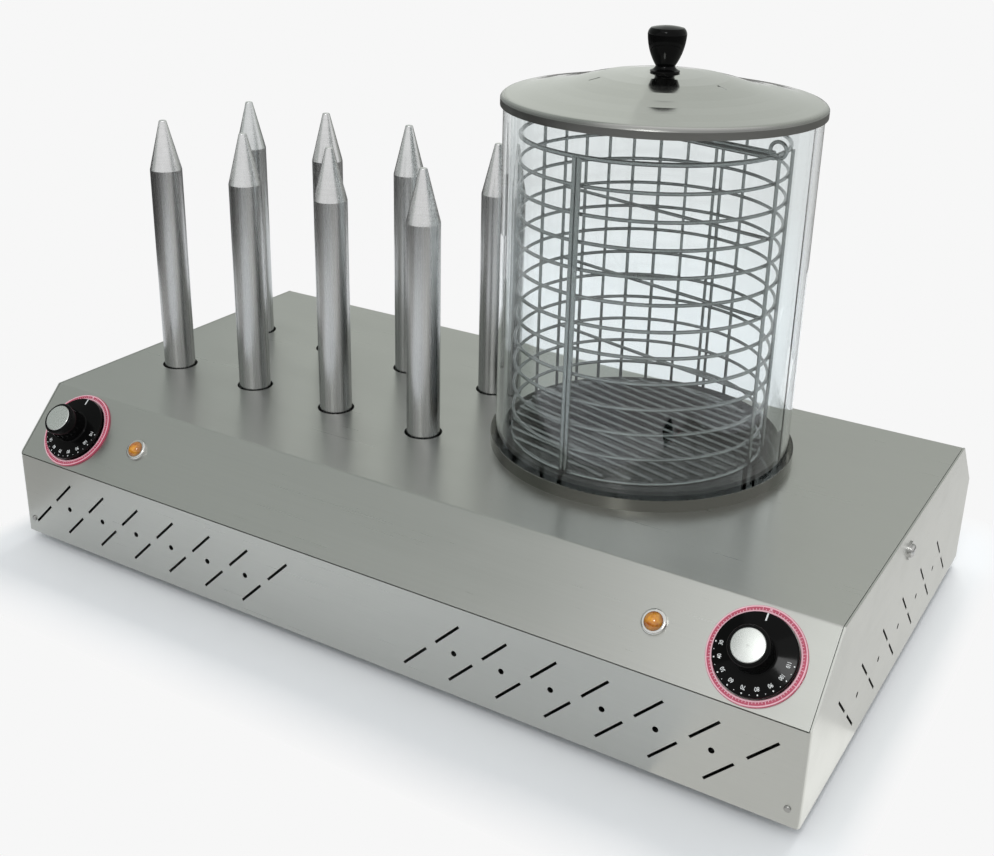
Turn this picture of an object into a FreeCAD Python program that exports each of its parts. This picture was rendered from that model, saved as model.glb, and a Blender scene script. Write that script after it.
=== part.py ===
"""Hot dog toaster: a folded steel case with eight heated spikes for the rolls and a
round glass steamer with a wire basket.

Origin: on the surface the feet stand on, below the middle of the case.
+X runs along the front edge to the right, +Y to the back, +Z up. Millimetres.
"""
import FreeCAD, Part
import math
import os

import Sketcher
from FreeCAD import Placement, Rotation, Vector

DIMENSIONS = {
    # Case: one sheet wraps the walls, one sheet covers top and slopes.
    "case_length": 600, "case_depth": 350, "wall_height": 62, "case_height": 104,
    "slope_run": 41.5, "sheet_thick": 1.2, "seam_gap": 0.5, "bend_radius": 2.5,
    "flange_drop": 12, "lip_height": 16,
    # Feet.
    "foot_height": 8, "foot_radius": 14, "foot_reach_across": 250, "foot_reach_deep": 130,
    # Vent slots and holes in the walls.
    "slot_length": 23.4, "slot_width": 1.8, "slot_spread": 33, "vent_hole": 1.9,
    "front_vent_mid": 29.6, "front_vent_pitch": 33.4, "front_vent_group": 166.4,
    "front_vent_shift": -2.5,
    "side_vent_mid": 32.4, "side_vent_pitch": 42.7,
    # Heated spikes, four columns and two rows.
    "spike_radius": 11.6, "spike_above": 189.7, "spike_cone": 36, "spike_tip": 2.8,
    "spike_pitch": 76.4, "spike_first": -254.4, "row_front": -53.2, "row_back": 40.3,
    "spike_hole": 13.2, "spike_drop": 3.5, "collar_radius": 8, "rod_radius": 6,
    "rail_level": 56, "rail_width": 44, "rail_thick": 2, "rail_lip": 10, "stud_radius": 3,
    # Round steamer.
    "steamer_x": 108, "steamer_y": 16, "glass_radius": 99.5, "glass_wall": 4.5,
    "glass_height": 234, "glass_edge": 1.2, "band_radius": 103, "band_height": 8.3,
    "pan_radius": 91.5, "pan_depth": 16, "pan_sheet": 0.8, "pan_rim": 101.6,
    "element_radius": 60, "element_thick": 4,
    # Lid of the steamer, heights counted from the top of the case.
    "lid_radius": 101.5, "lid_sheet": 0.8, "lid_rim_low": 230.2, "lid_rim_top": 235.9,
    "lid_middle": 251.8, "grip_height": 28.1, "grip_radius": 12,
    # Wire basket, its axis set off a little from the glass.
    "basket_shift_x": -3.2, "basket_shift_y": -1.7, "basket_radius": 84.4,
    "basket_top": 213, "ring_pitch": 16.88, "wire_thin": 1.15, "wire_thick": 1.5,
    "weld": 0.1, "floor_pitch": 9.4, "foot_loop": 7.5,
    # Thermostat dials and pilot lamps on the front slope.
    "dial_across": 260, "dial_radius": 23.5, "scale_radius": 27.8, "scale_bore": 24,
    "scale_thick": 1.5, "hub_radius": 11.6, "hub_height": 23, "cap_radius": 9.5,
    "spindle_radius": 3, "spindle_play": 0.05, "lamp_across": 200, "lamp_radius": 7.7,
    "lens_radius": 5.6, "thermostat_width": 40, "thermostat_height": 36,
    "thermostat_depth": 26, "fixing_reach": 14,
    # Holes, screws and nuts.
    "screw_hole": 2.2, "small_hole": 1.5, "dial_hole": 5.3, "lamp_hole": 6.2,
    "screw_shank": 2, "side_head": 4.4, "washer_radius": 6, "corner_shank": 1.4,
    "corner_head": 2, "foot_bore": 5.2, "foot_bore_depth": 3.2, "foot_shank": 2.2,
    "foot_head": 4.4, "spike_nut": 12.5, "spike_nut_height": 7, "small_nut": 5.8,
    "small_nut_height": 5, "collar_length": 12, "rail_end": 20,
    # Play between the sheets, the cover's tabs and the base plate's openings.
    "cover_play": 0.3, "tray_play": 0.2, "tab_width": 30, "tab_height": 26,
    "base_vent_width": 5, "base_vent_length": 80, "base_vent_pitch": 24,
    "block_hole_across": 28, "block_hole_deep": 6,
    # Small features of the lid and the basket.
    "lid_bore": 2.8, "lid_slot_reach": 45.5, "lid_slot_length": 7, "lid_slot_width": 1.6,
    "grip_bore": 2.6, "grip_bore_depth": 16.3, "eye_radius": 5, "eye_lift": 3.5,
}

RINGS = 13
DIVIDER_ENDS = (158.5, -8.5)
THIN_UPRIGHTS = (173, 146.7, 134.9, 123.4, 110.9, 98, 84.2, 80.7, 68, 8) + DIVIDER_ENDS
THICK_UPRIGHTS = (-96.4, -94.4)
BASKET_FEET = (-103, -3, 77, 166)
DIVIDER_RINGS = (3, 6, 9)
SPIKE_ROD_BELOW = 30
SLASH = 45
LID_SLOTS = (-135, -17, 103)
LID_EDGE, LID_FALL = 98, -14.5
SIDE_SCREW_LEVEL = 87
CORNER_SCREW_INSET, CORNER_SCREW_LEVEL = 7.5, 11
GLAND_ACROSS, GLAND_LEVEL, GLAND_RADIUS, GLAND_STAND = 230, 26, 8, 2.9
GLAND_FLANGE, GLAND_BORE, GLAND_REACH = 11.5, 4.2, 14
BULB_LENGTH, BULB_RADIUS = 60, 3
TUBE_RADIUS, TUBE_BEND, LEAD_RADIUS, LEAD_BEND = 0.8, 7, 1.3, 9
BLOCK_ACROSS, BLOCK_DEEP, BLOCK_PITCH = 150, 142, 9.0
ELEMENT_GAP = 330

doc = FreeCAD.newDocument("hot_dog_toaster")
nodes = []
small_nuts = []


class Size:
    """A size in millimetres together with the sheet expression that drives it."""

    def __init__(self, value, text):
        self.value = value
        self.text = text

    def __float__(self):
        return float(self.value)

    def __neg__(self):
        return Size(-self.value, f"(-{self.text})")

    def __add__(self, other):
        return join(self, other, "+", float(self) + float(other))

    def __radd__(self, other):
        return join(other, self, "+", float(other) + float(self))

    def __sub__(self, other):
        return join(self, other, "-", float(self) - float(other))

    def __rsub__(self, other):
        return join(other, self, "-", float(other) - float(self))

    def __mul__(self, other):
        return join(self, other, "*", float(self) * float(other))

    def __rmul__(self, other):
        return join(other, self, "*", float(other) * float(self))

    def __truediv__(self, other):
        return join(self, other, "/", float(self) / float(other))


def words(size):
    """The expression for a size or a plain number."""
    return size.text if isinstance(size, Size) else f"{size:.6f}"


def join(first, second, sign, value):
    return Size(value, f"({words(first)} {sign} {words(second)})")


def root(size):
    return Size(math.sqrt(float(size)), f"sqrt({words(size)})")


def make_sheet():
    """Fill the sheet of driving dimensions and return each one as a Size."""
    sheet = doc.addObject("Spreadsheet::Sheet", "dims")
    for row, (name, value) in enumerate(DIMENSIONS.items(), start=1):
        sheet.set(f"A{row}", name)
        sheet.set(f"B{row}", str(value))
        sheet.setAlias(f"B{row}", name)
    doc.recompute()
    return {name: Size(value, f"dims.{name}") for name, value in DIMENSIONS.items()}


class Named:
    """Driving dimensions by name."""

    def __init__(self, sizes):
        self.__dict__.update(sizes)


d = Named(make_sheet())

# Levels and places that many pieces share.
floor_level = d.foot_height
seam_level = floor_level + d.wall_height
top_level = floor_level + d.case_height
half_length = d.case_length / 2
half_depth = d.case_depth / 2
slope_angle = math.degrees(math.atan2(
    float(d.case_height - d.wall_height), float(d.slope_run)))
slope_words = "atan2(dims.case_height - dims.wall_height; dims.slope_run)"
basket_x = d.steamer_x + d.basket_shift_x
basket_y = d.steamer_y + d.basket_shift_y
X_AXIS, Y_AXIS, Z_AXIS = Vector(1, 0, 0), Vector(0, 1, 0), Vector(0, 0, 1)


def bind(thing, prop, size):
    """Give a property its value, and its expression where the size has one."""
    if isinstance(size, Size):
        thing.setExpression(prop, size.text)
    else:
        setattr(thing, prop, size)


def place(thing, at, turn=None, tilted=False):
    """Move a piece to a point; tilted pieces stand square on the front slope."""
    rotation = Rotation(X_AXIS, slope_angle) if tilted else turn or Rotation()
    thing.Placement = Placement(Vector(*(float(part) for part in at)), rotation)
    for axis, part in zip("xyz", at):
        if isinstance(part, Size):
            thing.setExpression(f"Placement.Base.{axis}", part.text)
    if tilted:
        thing.setExpression("Placement.Rotation.Angle", slope_words)
    return thing


def on_slope(across, along=0.0, above=0.0):
    """Point beside the middle line of the front slope, above its outer face."""
    sine, cosine = math.sin(math.radians(slope_angle)), math.cos(math.radians(slope_angle))
    deep = along * cosine - above * sine
    high = along * sine + above * cosine
    return (across,
            d.slope_run / 2 - half_depth + deep,
            floor_level + (d.wall_height + d.case_height) / 2 + high)


def polar(radius, degrees):
    """Offsets of a point on a circle."""
    angle = math.radians(degrees)
    return radius * math.cos(angle), radius * math.sin(angle)


def basket_point(radius, degrees, height):
    """Point given round the basket's own axis."""
    across, deep = polar(radius, degrees)
    return basket_x + across, basket_y + deep, height


def arc_between(start, end, radius):
    """Arc as geometry with its start and end vertex numbers; a positive radius
    turns left."""
    chord = end - start
    left = Vector(-chord.y, chord.x, 0).normalize()
    reach = math.sqrt(max(radius ** 2 - (chord.Length / 2) ** 2, 0))
    centre = (start + end) / 2 + left * math.copysign(reach, radius)
    circle = Part.Circle(centre, Z_AXIS, abs(radius))
    first = math.atan2(start.y - centre.y, start.x - centre.x)
    last = math.atan2(end.y - centre.y, end.x - centre.x)
    if radius > 0:
        return Part.ArcOfCircle(circle, first, last), 1, 2
    return Part.ArcOfCircle(circle, last, first), 2, 1


def pin_down(sketch, edge, vertex, corner):
    """Hold a vertex at its corner, across and up."""
    axes = (("DistanceX", -2, "across"), ("DistanceY", -1, "up"))
    for part, (kind, axis, label) in zip(corner, axes):
        if abs(float(part)) < 1e-9:
            sketch.addConstraint(Sketcher.Constraint("PointOnObject", edge, vertex, axis))
            continue
        index = sketch.addConstraint(
            Sketcher.Constraint(kind, -1, 1, edge, vertex, float(part)))
        drive(sketch, index, f"{label}_{edge}", part)


def drive(sketch, index, name, size):
    """Name a constraint and tie it to the sheet."""
    sketch.renameConstraint(index, name)
    if isinstance(size, Size):
        sketch.setExpression(f"Constraints.{name}", size.text)


def draw(sketch, corners):
    """Closed outline through (across, up) corners. A third entry is the radius of
    the arc that leads to that corner."""
    count = len(corners)
    spots = [Vector(float(corner[0]), float(corner[1]), 0) for corner in corners]
    edges = []
    for i in range(count):
        follow = (i + 1) % count
        if len(corners[follow]) == 3:
            edges.append(arc_between(spots[i], spots[follow], float(corners[follow][2])))
        else:
            edges.append((Part.LineSegment(spots[i], spots[follow]), 1, 2))
    sketch.addGeometry([edge[0] for edge in edges], False)
    for i in range(count):
        follow = (i + 1) % count
        sketch.addConstraint(Sketcher.Constraint(
            "Coincident", i, edges[i][2], follow, edges[follow][1]))
        pin_down(sketch, i, edges[i][1], corners[i][:2])
        if len(corners[follow]) == 3:
            radius = corners[follow][2]
            size = -radius if float(radius) < 0 else radius
            index = sketch.addConstraint(Sketcher.Constraint("Radius", i, float(size)))
            drive(sketch, index, f"round_{i}", size)


def sketch_on(body, plane, name):
    """Empty sketch on one of the body's own planes."""
    sketch = body.newObject("Sketcher::SketchObject", name)
    face = next(f for f in body.Origin.OriginFeatures if f.Role == plane)
    sketch.AttachmentSupport = [(face, "")]
    sketch.MapMode = "FlatFace"
    return sketch


def turned(name, corners, at=(0, 0, 0), turn=None, tilted=False):
    """Body turned about its own Z axis from (radius, height) corners."""
    body = doc.addObject("PartDesign::Body", name)
    sketch = sketch_on(body, "XZ_Plane", name + "_outline")
    draw(sketch, corners)
    feature = body.newObject("PartDesign::Revolution", name + "_turning")
    feature.Profile = sketch
    feature.ReferenceAxis = (sketch, ["V_Axis"])
    feature.Angle = 360
    sketch.Visibility = False
    return place(body, at, turn, tilted)


def folded(name, corners, length):
    """Body pressed from an outline across the case, (depth, height) corners, and
    carried the same way left and right."""
    body = doc.addObject("PartDesign::Body", name)
    sketch = sketch_on(body, "YZ_Plane", name + "_outline")
    draw(sketch, corners)
    pad = body.newObject("PartDesign::Pad", name + "_length")
    pad.Profile = sketch
    pad.SideType = "Symmetric"
    bind(pad, "Length", length)
    doc.recompute()
    return body


def round_edges(body, wanted, radius):
    """Fillet the edges of a body's last feature that the test picks."""
    base = body.Tip
    chosen = [f"Edge{i}" for i, edge in enumerate(base.Shape.Edges, start=1) if wanted(edge)]
    fillet = body.newObject("PartDesign::Fillet", body.Name + "_bends")
    fillet.Base = (base, chosen)
    bind(fillet, "Radius", radius)
    doc.recompute()


def block(name, size, low):
    """Box from its low corner."""
    thing = doc.addObject("Part::Box", name)
    for prop, part in zip(("Length", "Width", "Height"), size):
        bind(thing, prop, part)
    return place(thing, low)


def slab(name, size, middle, turn=None, tilted=False):
    """Box about its middle, along its own axes."""
    thing = doc.addObject("Part::Box", name)
    for prop, part in zip(("Length", "Width", "Height"), size):
        bind(thing, prop, part)
    rotation = Rotation(X_AXIS, slope_angle) if tilted else turn or Rotation()
    back = rotation.multVec(Vector(*(float(part) / 2 for part in size)))
    low = [part - shift for part, shift in zip(middle, back)]
    return place(thing, low, turn, tilted)


def rod(name, radius, length, at, turn=None, tilted=False):
    """Cylinder standing on a point."""
    thing = doc.addObject("Part::Cylinder", name)
    bind(thing, "Radius", radius)
    bind(thing, "Height", length)
    return place(thing, at, turn, tilted)


def hoop(name, radius, wire, at, turn=None):
    """Ring of round wire."""
    thing = doc.addObject("Part::Torus", name)
    bind(thing, "Radius1", radius)
    bind(thing, "Radius2", wire)
    return place(thing, at, turn)


def hexagon(name, radius, length, at, turn=None):
    """Hexagonal prism standing on a point."""
    thing = doc.addObject("Part::Prism", name)
    thing.Polygon = 6
    bind(thing, "Circumradius", radius)
    bind(thing, "Height", length)
    return place(thing, at, turn)


def fuse(name, parts):
    thing = doc.addObject("Part::MultiFuse", name)
    thing.Shapes = parts
    return thing


def cut(name, base, tools):
    """Base less every tool."""
    thing = doc.addObject("Part::Cut", name)
    thing.Base = base
    thing.Tool = tools[0] if len(tools) == 1 else fuse(name + "_tools", tools)
    return thing


def group(name, parts):
    """Several like pieces kept in one node."""
    thing = doc.addObject("Part::Compound", name)
    thing.Links = parts
    return thing


def keep(name, thing):
    """Name a finished sub-part; its label names its file."""
    thing.Label = name
    nodes.append(thing)
    return thing


def bent_tube(points, radius, bend):
    """Shape of a round tube along straight runs joined by tangent arcs."""
    spots = [Vector(*(float(part) for part in point)) for point in points]
    edges = []
    start = spots[0]
    for before, corner, after in zip(spots, spots[1:], spots[2:]):
        come = (before - corner).normalize()
        leave = (after - corner).normalize()
        half = come.getAngle(leave) / 2
        first = corner + come * (bend / math.tan(half))
        last = corner + leave * (bend / math.tan(half))
        inward = (come + leave).normalize()
        centre = corner + inward * (bend / math.sin(half))
        edges.append(Part.LineSegment(start, first).toShape())
        edges.append(Part.Arc(first, centre - inward * bend, last).toShape())
        start = last
    edges.append(Part.LineSegment(start, spots[-1]).toShape())
    path = Part.Wire(edges)
    section = Part.Wire(Part.Circle(spots[0], spots[1] - spots[0], radius).toShape())
    return path.makePipeShell([section], True, False)


def slashes(prefix, centre, level, along_depth):
    """Cutters for one slanted pair of slots through both opposite walls."""
    cutters = []
    for side in (-1, 1):
        reach = d.slot_spread * (0.5 * side * math.sin(math.radians(SLASH)))
        if along_depth:
            size = (d.slot_length, d.case_depth + 20, d.slot_width)
            middle = (centre + reach, 0.0, level + reach)
            turn = Rotation(Y_AXIS, -SLASH)
        else:
            size = (d.case_length + 20, d.slot_length, d.slot_width)
            middle = (0.0, centre - reach, level + reach)
            turn = Rotation(X_AXIS, -SLASH)
        cutters.append(slab(f"{prefix}_slot", size, middle, turn))
    return cutters


def wall_vents():
    """Cutters for the slots and round holes of the front, back and side walls."""
    cutters = []
    level = floor_level + d.front_vent_mid
    back = Rotation(X_AXIS, 90)
    for group_side in (-1, 1):
        middle = d.front_vent_group * group_side + d.front_vent_shift
        for step in range(-3, 4):
            cutters += slashes("front", middle + d.front_vent_pitch * step, level, True)
        for step in range(-3, 3):
            across = middle + d.front_vent_pitch * (step + 0.5)
            cutters.append(rod("front_hole", d.vent_hole, d.case_depth + 20,
                               (across, half_depth + 10, level), back))
    level = floor_level + d.side_vent_mid
    for step in range(-3, 3):
        deep = d.side_vent_pitch * (step + 0.5)
        cutters += slashes("side", deep, level, False)
    for step in range(-2, 3):
        cutters.append(rod("side_hole", d.vent_hole, d.case_length + 20,
                           (-half_length - 10, d.side_vent_pitch * step, level),
                           Rotation(Y_AXIS, 90)))
    return cutters


def corner_screw_spots():
    """Axis points of the small screws low on the front and back walls."""
    spots = []
    for across in (-1, 1):
        for deep in (-1, 1):
            spots.append(((half_length - CORNER_SCREW_INSET) * across, half_depth * deep,
                          floor_level + CORNER_SCREW_LEVEL, deep))
    return spots


def make_case():
    """Walls, cover and base plate."""
    fold = half_depth - d.slope_run
    end_view = [(-half_depth, floor_level), (half_depth, floor_level),
                (half_depth, seam_level), (fold, top_level), (-fold, top_level),
                (-half_depth, seam_level)]
    walls = folded("walls", end_view, d.case_length)
    corner = float(half_length) - 0.01
    round_edges(walls, lambda edge: abs(edge.CenterOfMass.x) > corner
                and abs(edge.tangentAt(edge.FirstParameter).z) > 0.99, d.bend_radius)
    width = d.case_length - 2 * d.sheet_thick
    depth = d.case_depth - 2 * d.sheet_thick
    cutters = [
        block("walls_inside", (width, depth, d.case_height + 2),
              (-width / 2, -depth / 2, floor_level - 1)),
        block("walls_top_cut", (width, d.case_depth + 2, d.case_height - d.wall_height + 2),
              (-width / 2, -half_depth - 1, seam_level)),
        rod("walls_screw_cut", d.screw_hole, d.case_length + 4,
            (-half_length - 2, 0.0, floor_level + SIDE_SCREW_LEVEL), Rotation(Y_AXIS, 90)),
        rod("walls_gland_cut", GLAND_RADIUS + 0.1, 8,
            (GLAND_ACROSS, half_depth + 4, floor_level + GLAND_LEVEL), Rotation(X_AXIS, 90)),
    ]
    for across, deep, level, side in corner_screw_spots():
        cutters.append(rod("walls_corner_cut", d.small_hole, 8,
                           (across, deep - 4 * side, level), Rotation(X_AXIS, -90 * side)))
    cutters += wall_vents()
    keep("case_walls", cut("case_walls", walls, cutters))
    make_cover()
    make_base()


def make_cover():
    """Top and both slopes folded from one sheet, with a hidden flange behind the
    front and back walls and a tab for each side screw."""
    thick = d.sheet_thick
    edge = half_depth - thick - d.cover_play
    inner = edge - thick
    low = seam_level + d.seam_gap
    steep = (d.case_height - d.wall_height) / d.slope_run
    lean = thick * math.tan(math.radians(slope_angle / 2))
    rise = (half_depth - inner) * steep - thick / math.cos(math.radians(slope_angle))
    fold = half_depth - d.slope_run
    right = [(half_depth - d.seam_gap / steep, low), (edge, low),
             (edge, seam_level - d.flange_drop), (inner, seam_level - d.flange_drop),
             (inner, seam_level + rise), (fold - lean, top_level - thick)]
    left = [(-across, up) for across, up in reversed(right)]
    outline = [(-fold, top_level), (fold, top_level)] + right + left
    length = d.case_length - 2 * thick - 0.7
    sheet = folded("cover_sheet", outline, length)
    bend, crest = float(fold), float(top_level)
    round_edges(sheet, lambda e: abs(abs(e.CenterOfMass.y) - bend) < 0.01
                and abs(e.CenterOfMass.z - crest) < 0.01 and abs(e.CenterOfMass.x) < 1,
                d.bend_radius)
    tabs = []
    for side in (-1, 1):
        middle = (half_length - thick * 1.5 - 0.35) * side
        tabs.append(slab("cover_tab", (thick, d.tab_width, d.tab_height),
                         (middle, 0.0, top_level - thick - d.tab_height / 2 + 0.5)))
    holes = [rod("cover_steamer_cut", d.pan_radius + 2, 10,
                 (d.steamer_x, d.steamer_y, top_level - 5)),
             rod("cover_screw_cut", d.screw_hole, d.case_length + 4,
                 (-half_length - 2, 0.0, floor_level + SIDE_SCREW_LEVEL),
                 Rotation(Y_AXIS, 90))]
    for across, deep, _ in spike_spots():
        holes.append(rod("cover_spike_cut", d.spike_hole, 10, (across, deep, top_level - 5)))
    for side in (-1, 1):
        dial = d.dial_across * side
        lamp = d.lamp_across * side
        holes.append(rod("cover_dial_cut", d.dial_hole, 12, on_slope(dial, 0, -6), tilted=True))
        holes.append(rod("cover_lamp_cut", d.lamp_hole, 12, on_slope(lamp, 0, -6), tilted=True))
        for hand in (-1, 1):
            spot = on_slope(dial + d.fixing_reach * hand, 0, -6)
            holes.append(rod("cover_fixing_cut", d.screw_hole, 12, spot, tilted=True))
    keep("top_cover", cut("top_cover", fuse("cover_body", [sheet] + tabs), holes))


def make_base():
    """Base plate: a tray whose lips stand inside the walls."""
    thick = d.sheet_thick
    gap = thick + d.tray_play
    outer = block("base_outer", (d.case_length - 2 * gap, d.case_depth - 2 * gap, d.lip_height),
                  (-half_length + gap, -half_depth + gap, floor_level))
    inner = block("base_inner", (d.case_length - 2 * gap - 2 * thick,
                                 d.case_depth - 2 * gap - 2 * thick, d.lip_height),
                  (-half_length + gap + thick, -half_depth + gap + thick,
                   floor_level + thick))
    cutters = [inner]
    for across, deep, level, side in corner_screw_spots():
        cutters.append(rod("base_corner_cut", d.small_hole, 12,
                           (across, deep - 8 * side, level), Rotation(X_AXIS, -90 * side)))
    for across, deep in foot_spots():
        cutters.append(rod("base_foot_cut", d.foot_shank + 0.1, 6,
                           (across, deep, floor_level - 2)))
    for step in range(-4, 5):
        cutters.append(slab("base_vent_cut", (d.base_vent_width, d.base_vent_length, 6),
                            (d.base_vent_pitch * step, 0.0, floor_level + 0.6)))
    for across in (-1, 1):
        for deep in (-1, 1):
            cutters.append(rod("base_block_cut", d.small_hole, 6,
                               (BLOCK_ACROSS + d.block_hole_across * across,
                                BLOCK_DEEP + d.block_hole_deep * deep, floor_level - 2)))
    relief = floor_level + d.lip_height - 2
    for side in (-1, 1):
        cutters.append(slab("base_relief_cut", (d.front_vent_pitch * 7.6, d.case_depth, 10),
                            (d.front_vent_group * side, 0.0, relief)))
    cutters.append(slab("base_relief_cut", (d.case_length, d.side_vent_pitch * 6.6, 10),
                        (0.0, 0.0, relief)))
    keep("base_plate", cut("base_plate", outer, cutters))


def foot_spots():
    return [(d.foot_reach_across * across, d.foot_reach_deep * deep)
            for across in (-1, 1) for deep in (-1, 1)]


def spike_spots():
    """Axis points of the spikes, and how far each one's tip is lowered: the pair
    beside the steamer stands lower."""
    spots = []
    for row in (d.row_front, d.row_back):
        for column in range(4):
            drop = d.spike_drop if column == 3 else 0.0
            spots.append((d.spike_first + d.spike_pitch * column, row, drop))
    return spots


def make_feet():
    """Rubber feet with a counterbore for the screw."""
    tall = d.foot_height
    hole = d.foot_shank + 0.2
    corners = [(d.foot_bore, 0.0), (d.foot_radius - 3, 0.0), (d.foot_radius - 2, 1.0, 1.0),
               (d.foot_radius, tall), (hole, tall), (hole, d.foot_bore_depth),
               (d.foot_bore, d.foot_bore_depth)]
    screws = []
    for number, (across, deep) in enumerate(foot_spots(), start=1):
        keep(f"foot_{number}", turned(f"foot_{number}", corners, (across, deep, 0.0)))
        head = rod("foot_screw_head", d.foot_head, d.foot_bore_depth - 1, (across, deep, 1.0))
        shank = rod("foot_screw_shank", d.foot_shank, tall + 4, (across, deep, 3.0))
        screws.append(fuse("foot_screw", [head, shank]))
    keep("foot_screws", group("foot_screws", screws))


def make_spikes():
    """Spikes with their heating rods, nuts and the two rails that carry them."""
    seat = floor_level + d.rail_level
    collar, bore = d.collar_length, d.rod_radius + 0.2
    rods, nuts = [], []
    for number, (across, deep, drop) in enumerate(spike_spots(), start=1):
        tip = top_level + d.spike_above - drop - seat
        shoulder = tip - d.spike_cone
        corners = [(bore, -collar), (d.collar_radius, -collar), (d.collar_radius, 0.0),
                   (d.spike_radius, 0.0), (d.spike_radius, shoulder), (d.spike_tip, tip - 0.9),
                   (d.spike_tip - 0.9, tip, 0.95), (0.0, tip), (0.0, shoulder),
                   (bore, shoulder)]
        keep(f"spike_{number}", turned(f"spike_{number}", corners, (across, deep, seat)))
        low = seat - SPIKE_ROD_BELOW
        barrel = rod("rod_barrel", d.rod_radius, shoulder + SPIKE_ROD_BELOW - 3,
                     (across, deep, low))
        stub = rod("rod_stub", d.rod_radius - 2, 6, (across, deep, low - 6))
        rods.append(fuse("heating_rod", [barrel, stub]))
        tall = d.spike_nut_height
        below = seat - d.rail_thick - tall
        nut = hexagon("spike_nut", d.spike_nut, tall, (across, deep, below))
        thread = rod("spike_nut_bore", d.collar_radius, tall + 1, (across, deep, below - 0.5))
        nuts.append(cut("spike_nut_cut", nut, [thread]))
    keep("heating_rods", group("heating_rods", rods))
    keep("spike_nuts", group("spike_nuts", nuts))
    studs = []
    head = d.case_height - d.sheet_thick - d.rail_level
    for name, deep in (("front", d.row_front), ("back", d.row_back)):
        rail = make_rail(name, deep)
        keep(f"rail_{name}", rail)
        for across in stud_places():
            corners = [(0.0, -9.0), (d.stud_radius, -9.0), (d.stud_radius, 0.0),
                       (d.stud_radius + 2, 0.0), (d.stud_radius + 2, head), (0.0, head)]
            studs.append(turned("rail_stud", corners, (across, deep, seat)))
            small_nuts.append(small_nut((across, deep, seat - d.rail_thick)))
    keep("rail_studs", group("rail_studs", studs))


def small_nut(top):
    """Nut screwed up against the face at a point."""
    across, deep, level = top
    tall = d.small_nut_height
    body = hexagon("small_nut", d.small_nut, tall, (across, deep, level - tall))
    thread = rod("small_nut_bore", d.stud_radius, tall + 1, (across, deep, level - tall - 0.5))
    return cut("small_nut_cut", body, [thread])


def stud_places():
    """Studs stand midway between neighbouring spikes."""
    return [d.spike_first + d.spike_pitch * (step + 0.5) for step in range(3)]


def make_rail(name, deep):
    """Channel below the cover that carries one row of spikes."""
    seat = floor_level + d.rail_level
    thick, wide = d.rail_thick, d.rail_width
    length = d.spike_pitch * 3 + d.rail_end * 2
    start = d.spike_first - d.rail_end
    outer = block(f"rail_{name}_outer", (length, wide, d.rail_lip + thick),
                  (start, deep - wide / 2, seat - thick))
    inner = block(f"rail_{name}_inner", (length + 2, wide - 2 * thick, d.rail_lip + 2),
                  (start - 1, deep - wide / 2 + thick, seat))
    cutters = [inner]
    for across, row, _ in spike_spots():
        if row is deep:
            cutters.append(rod("rail_spike_cut", d.collar_radius + 0.2, 8,
                               (across, deep, seat - 5)))
    for across in stud_places():
        cutters.append(rod("rail_stud_cut", d.stud_radius + 0.2, 8, (across, deep, seat - 5)))
    return cut(f"rail_{name}", outer, cutters)


def make_steamer():
    """Water pan, its element, the band round the glass, and the glass itself."""
    centre = (d.steamer_x, d.steamer_y, top_level)
    thin, bend = d.pan_sheet, 3
    pan = [(0.0, -d.pan_depth), (d.pan_radius - bend, -d.pan_depth),
           (d.pan_radius, -d.pan_depth + bend, bend), (d.pan_radius, thin),
           (d.pan_rim, thin), (d.pan_rim, 0.0), (d.pan_radius + thin, 0.0),
           (d.pan_radius + thin, -d.pan_depth + bend),
           (d.pan_radius - bend, -d.pan_depth - thin, -(bend + thin)),
           (0.0, -d.pan_depth - thin)]
    keep("water_pan", turned("water_pan", pan, centre))
    under = -d.pan_depth - thin
    make_element(under)
    inner = d.band_radius - 1
    step = thin + 1
    inside = d.glass_radius - d.glass_wall
    band = [(inside + 0.5, thin), (inner, thin), (inner, 0.0),
            (d.band_radius, 0.0), (d.band_radius, d.band_height - 0.5),
            (inner, d.band_height - 0.5, 0.55), (inner, step), (inside + 0.5, step)]
    keep("glass_band", turned("glass_band", band, centre))
    round_off = d.glass_edge
    foot = step + 0.2
    head = foot + d.glass_height
    glass = [(inside + round_off, foot, round_off), (d.glass_radius - round_off, foot),
             (d.glass_radius, foot + round_off, round_off),
             (d.glass_radius, head - round_off),
             (d.glass_radius - round_off, head, round_off), (inside + round_off, head),
             (inside, head - round_off, round_off), (inside, foot + round_off)]
    keep("glass_cylinder", turned("glass_cylinder", glass, centre))


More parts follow.
